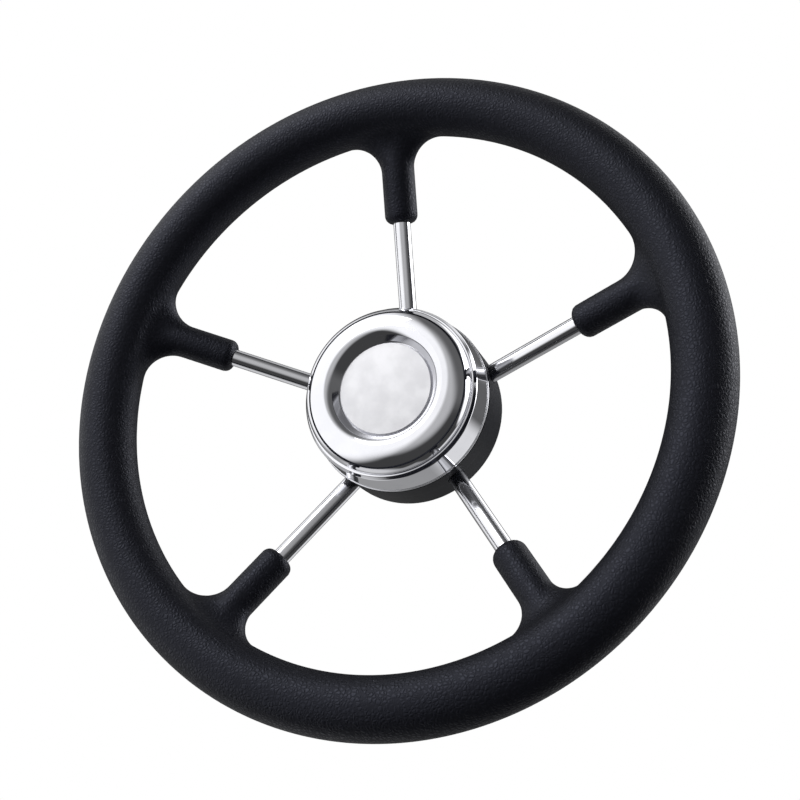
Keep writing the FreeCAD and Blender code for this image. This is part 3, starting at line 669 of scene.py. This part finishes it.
# %% One bar
BAR_RADIUS = 4.75 * MM
# The bars end inside the rim's tube, a quarter of its width short of its centre line
BAR_END_RADIUS = RIM_RADIUS - 3.5 * MM
BAR_END = SPOKE_FOOT - math.tan(SPOKE_SLOPE) * (BAR_END_RADIUS - SOCKET_RADIUS)
BAR_SPANS = 32
BAR_SIDES = 64

bar_sizes = {
    "Bar Radius": BAR_RADIUS,
    "Foot": Vector((0.0, SPOKE_FOOT, SOCKET_RADIUS)),
    "End": Vector((0.0, BAR_END, BAR_END_RADIUS)),
    "Bars": SPOKE_COUNT,
}
tree, size = new_tree("Spokes", bar_sizes)
line = add_node(tree, "GeometryNodeCurvePrimitiveLine", {"Start": size["Foot"], "End": size["End"]})
spans = add_node(tree, "GeometryNodeResampleCurve",
                 {"Curve": Term(tree, line.outputs[0]), "Count": BAR_SPANS})
kept_along = add_node(tree, "GeometryNodeCaptureAttribute", {"Geometry": Term(tree, spans.outputs[0])})
kept_along.capture_items.new("FLOAT", "Along")
way_along = tree.nodes.new("GeometryNodeSplineParameter")
tree.links.new(way_along.outputs["Length"], kept_along.inputs["Along"])
circle = add_node(tree, "GeometryNodeCurvePrimitiveCircle",
                  {"Radius": size["Bar Radius"], "Resolution": BAR_SIDES})
kept_round = add_node(tree, "GeometryNodeCaptureAttribute", {"Geometry": Term(tree, circle.outputs[0])})
kept_round.capture_items.new("VECTOR", "Round")
place_round = tree.nodes.new("GeometryNodeInputPosition")
tree.links.new(place_round.outputs[0], kept_round.inputs["Round"])
bar = add_node(tree, "GeometryNodeCurveToMesh", {
    "Curve": Term(tree, kept_along.outputs["Geometry"]),
    "Profile Curve": Term(tree, kept_round.outputs["Geometry"]),
    "Fill Caps": True,
})
across, up, _ = split(Term(tree, kept_round.outputs["Round"]))
marked = add_node(tree, "GeometryNodeStoreNamedAttribute", {
    "Geometry": Term(tree, bar.outputs[0]),
    "Name": "bar_place",
    "Value": joined(tree, Term(tree, kept_along.outputs["Along"]), across, up),
}, data_type="FLOAT_VECTOR")
print("one bar, slope %.2f degrees" % math.degrees(SPOKE_SLOPE))

# %% [markdown]
# The other four bars are copies of the first, each turned a fifth of the way further round the wheel's
# axis, so the tree says each fact once. Five points at the centre carry the copies, and a point's number
# gives its angle.

# %% Five bars
places = add_node(tree, "GeometryNodePoints", {"Count": size["Bars"]})
turns = maths(tree, "MULTIPLY", Term(tree, tree.nodes.new("GeometryNodeInputIndex").outputs[0]),
              maths(tree, "DIVIDE", 2.0 * math.pi, size["Bars"]))
turned = add_node(tree, "FunctionNodeAxisAngleToRotation",
                  {"Axis": Vector((0.0, 1.0, 0.0)), "Angle": turns})
wheel_of_bars = add_node(tree, "GeometryNodeInstanceOnPoints", {
    "Points": Term(tree, places.outputs[0]),
    "Instance": Term(tree, marked.outputs[0]),
    "Rotation": Term(tree, turned.outputs[0]),
})
end_tree(tree, Term(tree, wheel_of_bars.outputs[0]), bar_finish)
bars = bake("spoke_bars", tree, bar_sizes)
place_piece(bars, "wheel", "spokes", "spoke_top", "spoke_right_upper", "spoke_right_lower",
            "spoke_left_lower", "spoke_left_upper")

# %% [markdown]
# The dome, the skirt and the disc are turned shapes, and the first two are mirrors. Each is drawn as
# half a section: corners with a depth, a radius and a rounding. A corner's arc and its normals follow
# from geometry, so the mirror is exact however the surface is cut into faces.

# %% Rounding the corners of a section
ARC_STEP = math.radians(7.5)


def rounded(corners):
    """Spans of a section through corners (depth, radius, rounding) in millimetres. A span is two
    points, each with its normal, which lies to the left of the way along the section."""
    points = [Vector(corner[:2]) for corner in corners]
    count = len(points)
    ways = [(points[(k + 1) % count] - points[k]).normalized() for k in range(count)]
    spans = []
    last = None
    for k in range(count + 1):
        here, before, after = points[k % count], ways[k % count - 1], ways[k % count]
        rounding = corners[k % count][2]
        bend = math.atan2(before.cross(after), before.dot(after))
        reach = rounding * math.tan(abs(bend) / 2)
        steps = max(1, math.ceil(abs(bend) / ARC_STEP)) if rounding else 0
        side = math.copysign(1.0, bend)
        start = here - before * reach
        centre = start + before.orthogonal() * side * rounding
        arc = []
        for step in range(steps + 1):
            way = Matrix.Rotation(bend * step / steps, 2) @ before if rounding else before
            arc.append((centre - way.orthogonal() * side * rounding, way.orthogonal()))
        if last is not None:
            spans.append((last[0], before.orthogonal(), arc[0][0], before.orthogonal()))
        if k < count:
            spans += [(*one, *two) for one, two in zip(arc, arc[1:])]
        last = (arc[-1][0], after.orthogonal())
    return spans


print("corners ready")

# %% [markdown]
# The section is then turned round the wheel's axis. Each point becomes a ring that the faces on both its
# sides share, and each face keeps its own normals, so a sharp corner stays sharp and a bend stays smooth.

# %% Turning a section
TURN_STEPS = 192
# Closer to the axis than this, in millimetres, counts as on it
ON_AXIS = 1e-6


def turned_piece(name, front, corners, material):
    """A mesh turned round the Y axis from a section whose depth 0 lies at front. A span on the axis is
    left out, and a point on the axis becomes one pole."""
    spans = [span for span in rounded(corners) if max(span[0].y, span[2].y) > ON_AXIS]
    rings = {}
    vertices = []
    faces = []
    normals = []

    def ring(point):
        key = (round(point.x, 5), round(point.y, 5))
        if key not in rings:
            steps = TURN_STEPS if point.y > ON_AXIS else 1
            rings[key] = [len(vertices) + step for step in range(steps)] * (TURN_STEPS // steps)
            for step in range(steps):
                angle = 2.0 * math.pi * step / steps
                vertices.append((point.y * MM * math.sin(angle), front + point.x * MM,
                                 point.y * MM * math.cos(angle)))
        return rings[key]

    def outward(normal, step):
        angle = 2.0 * math.pi * step / TURN_STEPS
        return (normal.y * math.sin(angle), normal.x, normal.y * math.cos(angle))

    for start, start_normal, end, end_normal in spans:
        near, far = ring(start), ring(end)
        for step in range(TURN_STEPS):
            after = (step + 1) % TURN_STEPS
            corners_round = [(near, step, start_normal), (near, after, start_normal),
                             (far, after, end_normal), (far, step, end_normal)]
            face = []
            for ring_of, at, normal in corners_round:
                if ring_of[at] not in [vertex for vertex, _ in face]:
                    face.append((ring_of[at], outward(normal, at)))
            faces.append([vertex for vertex, _ in face])
            normals += [normal for _, normal in face]
    mesh = bpy.data.meshes.new(name)
    mesh.from_pydata(vertices, [], faces)
    mesh.shade_smooth()
    mesh.normals_split_custom_set(normals)
    mesh.materials.append(material)
    piece = bpy.data.objects.new(name, mesh)
    bpy.context.scene.collection.objects.link(piece)
    print(name, "faces:", len(mesh.polygons))
    return piece


print("lathe ready")

# %% [markdown]
# The pressings are polished to a mirror. A perfect mirror looks like a drawing, so the sheet keeps
# faint lines from the spinning lathe, a very slight unevenness of the pressed metal, and patches that
# hands have dulled a little. The disc in the middle is matt: the same metal with a rougher skin.

# %% Finishes: mirror and satin
MIRROR_STEEL = (0.91, 0.915, 0.955)
MIRROR_STEEL_HAZY = (0.85, 0.855, 0.90)
SATIN_STEEL = (0.60, 0.60, 0.62)
SATIN_STEEL_HAZY = (0.52, 0.52, 0.54)
SATIN_GRAINS_PER_METRE = 5200.0
WAVES_PER_METRE = 22.0


def wire_mirror(tree):
    spun = use_group(tree, "Spun lines", {"Lines per Metre": 2600.0})
    place = Term(tree, tree.nodes.new("ShaderNodeTexCoord").outputs["Object"])
    waves = noise(tree, place, WAVES_PER_METRE, detail=1.0)
    worn = use_group(tree, "Rubbed edges", {"Width": 0.3 * MM})["Mask"]
    uneven = bump(tree, waves, 0.06 * MM, 0.25)
    return {
        "Base Color": ramp(tree, spun["Haze"], (0.0, MIRROR_STEEL), (1.0, MIRROR_STEEL_HAZY)),
        "Roughness": between(tree, spun["Haze"], 0.035, 0.085) + worn * 0.08,
        "Normal": bump(tree, spun["Height"], 0.0015 * MM, 0.5, under=uneven),
    }


mirror_finish = new_material("mirror_pressing", {"Metallic": 1.0}, wire_mirror)


def wire_satin(tree):
    spun = use_group(tree, "Spun lines", {"Lines per Metre": SATIN_GRAINS_PER_METRE})
    grain = use_group(tree, "Moulded grain", {"Grains per Metre": SATIN_GRAINS_PER_METRE})
    turned_lines = bump(tree, spun["Height"], 0.006 * MM, 0.5)
    return {
        "Base Color": ramp(tree, grain["Cloud"], (0.0, SATIN_STEEL), (1.0, SATIN_STEEL_HAZY)),
        "Roughness": between(tree, grain["Height"], 0.34, 0.46, start=0.3, end=0.7),
        "Normal": bump(tree, grain["Height"], 0.02 * MM, 0.35, under=turned_lines),
    }


satin_finish = new_material("satin_disc", {"Metallic": 1.0}, wire_satin)

# %% [markdown]
# The cap is pressed from one sheet: a full round ring, which falls to a flat dish in the middle and ends
# in a short straight edge outside. Its section is a few corners with their bends, because a press makes
# flats and bends and little else. The inside is the same section one wall further in, so bends that turn
# outward get tighter there and the bend at the dish's floor gets wider.

# %% The cap's dome
CAP_HEIGHT = 10.1
CAP_WALL = 1.0
DISH_DEPTH = 6.4
DISH_FLOOR_RADIUS = 24.9
DISH_LIP_RADIUS = 29.7
CREST_RADIUS = 39.2
DOME_RADIUS = 44.8
cap_front_corners = [
    (DISH_DEPTH, 0.0, 0.0),
    (DISH_DEPTH, DISH_FLOOR_RADIUS, 2.6),
    (0.0, DISH_LIP_RADIUS, 5.4),
    (0.2, CREST_RADIUS, 11.0),
    (6.0, DOME_RADIUS, 8.5),
    (CAP_HEIGHT, DOME_RADIUS, 0.55),
]
cap_back_corners = [
    (CAP_HEIGHT, DOME_RADIUS - CAP_WALL, 0.1),
    (6.4, DOME_RADIUS - CAP_WALL, 7.5),
    (1.18, 38.75, 10.0),
    (1.01, 30.2, 4.4),
    (DISH_DEPTH + CAP_WALL, 25.4, 3.6),
    (DISH_DEPTH + CAP_WALL, 0.0, 0.0),
]
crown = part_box("cap_shell")[1].y - CAP_HEIGHT * MM
dome = turned_piece("cap_dome", crown, cap_front_corners + cap_back_corners, mirror_finish)
place_piece(dome, "cap", "polished_pressing", "cap_shell")

# %% [markdown]
# A matt disc lies in the dish. Behind the cap a second pressing goes round the hub: a flat front that the
# cap covers, a narrow shoulder, a side that widens slightly towards the rear, and a fine bead at its edge.
# The bead stiffens the sheet on the real wheel, and in a picture it draws the bright line there.

# %% The disc and the skirt
DISC_RADIUS = 24.7
DISC_THICKNESS = 0.8
disc_corners = [
    (0.0, 0.0, 0.0),
    (0.0, DISC_RADIUS, 0.2),
    (DISC_THICKNESS, DISC_RADIUS, 0.05),
    (DISC_THICKNESS, 0.0, 0.0),
]
disc = turned_piece("cap_disc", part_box("cap_inlay")[0].y, disc_corners, satin_finish)
place_piece(disc, "cap", "inlay", "cap_inlay")

SKIRT_BORE = 36.0
SKIRT_WALL = 1.2
SHOULDER_FRONT_RADIUS = 45.8
SHOULDER_RADIUS = 47.2
SKIRT_SIDE_END = 16.5
SKIRT_DEPTH = 17.7
BEAD_RADIUS = 49.3
skirt_corners = [
    (0.0, SKIRT_BORE, 0.25),
    (0.0, SHOULDER_FRONT_RADIUS, 0.6),
    (1.9, SHOULDER_RADIUS, 1.4),
    (SKIRT_SIDE_END, 48.8, 0.15),
    (SKIRT_SIDE_END, BEAD_RADIUS, 0.45),
    (SKIRT_DEPTH, BEAD_RADIUS, 0.45),
    (SKIRT_DEPTH, 47.6, 0.2),
    (2.8, 46.1, 1.0),
    (SKIRT_WALL, 45.0, 0.4),
    (SKIRT_WALL, SKIRT_BORE, 0.25),
]
skirt = turned_piece("polished_skirt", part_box("hub_skirt")[0].y, skirt_corners, mirror_finish)
place_piece(skirt, "wheel", "polished_pressing", "hub_skirt")

# %% [markdown]
# Everything else keeps its solid. The two shrouds are one black plastic, the boss and its plate are
# turned steel, the ring inside the grip is drawn tube with its mill finish, and the screws are plain
# steel. Under the cap sit a nylon carrier and a rubber ring, which only show with the cap pulled off.

# %% Recipes for plastic and turned steel
# How much lighter black plastic gets where it has faded
FADED = 1.35
# The colour sockets of the Mix node, which has sockets of the same names for other kinds of value
COLOUR_UNDER = 6
COLOUR_OVER = 7
COLOUR_MIXED = 2


def wire_moulding(dark, worn_colour, grains, rough):
    """A moulded plastic or rubber: its colour, its colour where it is rubbed, its grain and its gloss."""
    def wired(tree):
        grain = use_group(tree, "Moulded grain", {"Grains per Metre": grains})
        worn = use_group(tree, "Rubbed edges", {"Width": 0.5 * MM})["Mask"]
        faded = tuple(channel * FADED for channel in dark)
        plain = ramp(tree, grain["Cloud"], (0.0, dark), (1.0, faded))
        mixed = add_node(tree, "ShaderNodeMix", {"Factor": worn}, data_type="RGBA")
        plug(tree, mixed.inputs[COLOUR_UNDER], plain)
        mixed.inputs[COLOUR_OVER].default_value = (*worn_colour, 1.0)
        return {
            "Base Color": Term(tree, mixed.outputs[COLOUR_MIXED]),
            "Roughness": between(tree, grain["Height"], rough, rough + 0.14, start=0.3, end=0.7)
            - worn * 0.12,
            "Normal": bump(tree, grain["Height"], 0.03 * MM, 0.5),
        }
    return wired


def wire_turned(bright, dull, lines, rough):
    """Turned, drawn or rolled steel: its two shades, how fine its lines are and how dull it is."""
    def wired(tree):
        spun = use_group(tree, "Spun lines", {"Lines per Metre": lines})
        worn = use_group(tree, "Rubbed edges", {"Width": 0.3 * MM})["Mask"]
        return {
            "Base Color": ramp(tree, spun["Haze"], (0.0, bright), (1.0, dull)),
            "Roughness": between(tree, spun["Height"], rough, rough + 0.16, start=0.3, end=0.7)
            - worn * 0.08,
            "Normal": bump(tree, spun["Height"], 0.012 * MM, 0.6),
        }
    return wired


print("recipes ready")

# %% [markdown]
# The recipes now give six finishes. Each is looked up by the material slot that the wheel's record names
# for a solid, so every solid of a kind gets the same one.

# %% Finishes for the solids that stay
shroud_gloss = {"Specular IOR Level": 0.16, "Specular Tint": (0.74, 0.80, 1.0, 1.0)}
finishes = {
    "shroud": new_material("black_moulding", shroud_gloss, wire_moulding(
        dark=(0.0040, 0.0043, 0.0060), worn_colour=(0.012, 0.012, 0.015), grains=2600.0, rough=0.38)),
    "carrier": new_material("black_nylon", {"Specular IOR Level": 0.5}, wire_moulding(
        dark=(0.020, 0.020, 0.022), worn_colour=(0.05, 0.05, 0.052), grains=1800.0, rough=0.42)),
    "sealing_ring": new_material("black_rubber", {"Specular IOR Level": 0.4}, wire_moulding(
        dark=(0.012, 0.012, 0.013), worn_colour=(0.02, 0.02, 0.02), grains=4000.0, rough=0.5)),
    "boss": new_material("turned_steel", {"Metallic": 1.0}, wire_turned(
        bright=(0.66, 0.66, 0.67), dull=(0.58, 0.58, 0.60), lines=1400.0, rough=0.22)),
    "tube": new_material("mill_finish_tube", {"Metallic": 1.0}, wire_turned(
        bright=(0.58, 0.58, 0.59), dull=(0.50, 0.50, 0.52), lines=900.0, rough=0.34)),
    "screws": new_material("plain_screw_steel", {"Metallic": 1.0}, wire_turned(
        bright=(0.64, 0.64, 0.65), dull=(0.54, 0.54, 0.56), lines=6000.0, rough=0.26)),
}
slot_of = {part["node"]: part["material_slot"] for part in frame["record"]["subparts"]}
for node, solid in frame["nodes"].items():
    if slot_of[node] in finishes:
        solid.material_slots[0].material = finishes[slot_of[node]]
        print(node, "gets", finishes[slot_of[node]].name)

# %% [markdown]
# A mirror shows the whole room, so the room is part of the finish. Where the camera looks it is plain
# white. In a mirror it is a dim studio: a large white wall on the left, a grey one behind the camera, a
# dark corner on the right, a pale table top behind and below, and a soft box behind on the right whose
# light draws the sheen along the grip. Each is a soft round patch of the sky, with a direction, an angle
# where it is full, an angle where it has faded, and a shade. Only the table has straight edges, because
# the skirt shows a sharp horizon. Matt surfaces get the same plain light from all sides.

# %% Paint for the room
world = bpy.data.worlds.new("studio")
bpy.context.scene.world = world
world.use_nodes = True
tree = world.node_tree
sky = tree.nodes["Background"]
sky.inputs["Color"].default_value = (1.0, 1.0, 1.0, 1.0)
way = unit(Term(tree, tree.nodes.new("ShaderNodeTexCoord").outputs["Generated"]))


def blended(tree, under, over, share):
    """Goes from under to over as share goes from 0 to 1. Each is a number."""
    return maths(tree, "ADD", under, maths(tree, "SUBTRACT", over, under) * share)


def patch(room, azimuth, elevation, full, faded, shade):
    """Paints a soft round patch of one shade on the room. The angles are in degrees."""
    towards = direction(math.radians(azimuth), math.radians(elevation))
    nearness = dot(way, towards)
    share = between(tree, nearness, 0.0, 1.0, start=math.cos(math.radians(faded)),
                    end=math.cos(math.radians(full)))
    return blended(tree, room, shade, share)


print("paint ready")

# %% [markdown]
# Now the room is painted, each patch over the ones before it. A bright or dark stretch on a mirror shows
# one direction of the room, and that direction says where its patch belongs. A shade above 1 is brighter
# than the white that the camera sees, as a lit soft box is.

# %% The room
WHITE = 1.0
MATT_LIGHT = 0.55
TABLE_SHADE = 0.31
# Azimuth and elevation, where it is full, where it has faded, all in degrees, and its shade. What comes
# later lies over what came before, and the table lies between the two groups.
BEHIND_TABLE = {
    "grey wall behind the camera": (8.0, 12.0, 12.0, 50.0, 0.50),
    "dark corner on the right": (62.0, 42.0, 10.0, 52.0, 0.11),
    "ceiling behind the wheel": (170.0, 72.0, 12.0, 30.0, 0.48),
    "gap behind on the left": (-145.0, 28.0, 20.0, 34.0, 0.06),
}
BEFORE_TABLE = {
    "floor below on the left": (-128.0, -50.0, 6.0, 30.0, 0.66),
    "floor behind": (152.0, -20.0, 11.0, 22.0, 0.75),
    "soft box, foot": (119.0, 0.0, 11.0, 22.0, 1.2),
    "soft box, head": (142.0, 44.0, 9.0, 25.0, 1.6),
    "soft box": (118.0, 25.0, 12.0, 27.0, 4.0),
    "white wall, upper part": (-66.0, 30.0, 28.0, 56.0, 1.1),
    "white wall, lower part": (-62.0, 12.0, 36.0, 62.0, 1.1),
}
across, behind, height = split(way)
# What no patch covers is dark, and darkest below
room = between(tree, height, 0.05, 0.12, start=-0.3, end=0.1)
for placed in BEHIND_TABLE.values():
    room = patch(room, *placed)
# The table ends at the horizon, a little above straight down, at the wheel's plane and on the right
table = between(tree, height, 1.0, 0.0, start=-0.035, end=-0.015)
table = table * between(tree, height, 0.0, 1.0, start=-0.92, end=-0.85)
table = table * between(tree, behind, 0.0, 1.0, start=0.10, end=0.25)
table = table * between(tree, across, 1.0, 0.0, start=0.15, end=0.25)
room = blended(tree, room, TABLE_SHADE, table)
for placed in BEFORE_TABLE.values():
    room = patch(room, *placed)
rays = tree.nodes.new("ShaderNodeLightPath")
plain = blended(tree, MATT_LIGHT, WHITE, Term(tree, rays.outputs["Is Camera Ray"]))
strength = blended(tree, plain, room, Term(tree, rays.outputs["Is Glossy Ray"]))
plug(tree, sky.inputs["Strength"], strength)
bpy.context.scene.view_settings.view_transform = "Standard"
print("room ready:", len(BEHIND_TABLE) + len(BEFORE_TABLE), "patches and a table")

# %% [markdown]
# A pale floor lies below the wheel. It sends some light up to the underside, as a real one would, and it
# fades out before its edge, so that no line shows where it meets the white. It stays out of the mirrors,
# where it would hide the darker part of the room.

# %% The floor
FLOOR_HEIGHT = -0.30
FLOOR_RADIUS = 1.6
FLOOR_STEP = 5
FLOOR_PALE = (0.86, 0.86, 0.86, 1.0)
floor_mesh = bpy.data.meshes.new("floor")
floor_edge = []
for angle in range(0, 360, FLOOR_STEP):
    turned_by = math.radians(angle)
    floor_edge.append((FLOOR_RADIUS * math.cos(turned_by), FLOOR_RADIUS * math.sin(turned_by), FLOOR_HEIGHT))
floor_mesh.from_pydata(floor_edge, [], [list(range(len(floor_edge)))])
floor = bpy.data.objects.new("floor", floor_mesh)
bpy.context.scene.collection.objects.link(floor)


def wire_floor(tree):
    place = Term(tree, tree.nodes.new("ShaderNodeTexCoord").outputs["Object"])
    x, y, z = split(place)
    out = hypotenuse(x, y)
    return {
        "Base Color": FLOOR_PALE,
        "Alpha": between(tree, out, 1.0, 0.0, start=FLOOR_RADIUS * 0.45, end=FLOOR_RADIUS * 0.98),
    }


floor_finish = new_material("pale_floor", {"Roughness": 0.9, "Specular IOR Level": 0.1}, wire_floor)
floor_mesh.materials.append(floor_finish)
floor.visible_glossy = False
print("floor ready")

# %% [markdown]
# Two lamps give light and shade to what isn't a mirror. The key stands in front, above and to the left,
# and a second lamp stands behind on the right, where the soft box of the room is, so that its light
# agrees with the mirrors. They don't show that lamp itself, because its square would be a hard block.

# %% The lamps
LAMP_DISTANCE = 1.2


def add_lamp(name, towards, size, power):
    lamp = bpy.data.objects.new(name, bpy.data.lights.new(name, "AREA"))
    bpy.context.scene.collection.objects.link(lamp)
    lamp.data.size = size
    lamp.data.energy = power
    lamp.location = towards.normalized() * LAMP_DISTANCE
    lamp.rotation_euler = towards.to_track_quat("Z", "Y").to_euler()
    return lamp


add_lamp("key", Vector((-0.55, -0.75, 0.75)), size=0.7, power=5.0)
rim_light = add_lamp("rim_light", direction(math.radians(128.0), math.radians(20.0)), size=0.5, power=8.0)
rim_light.visible_glossy = False
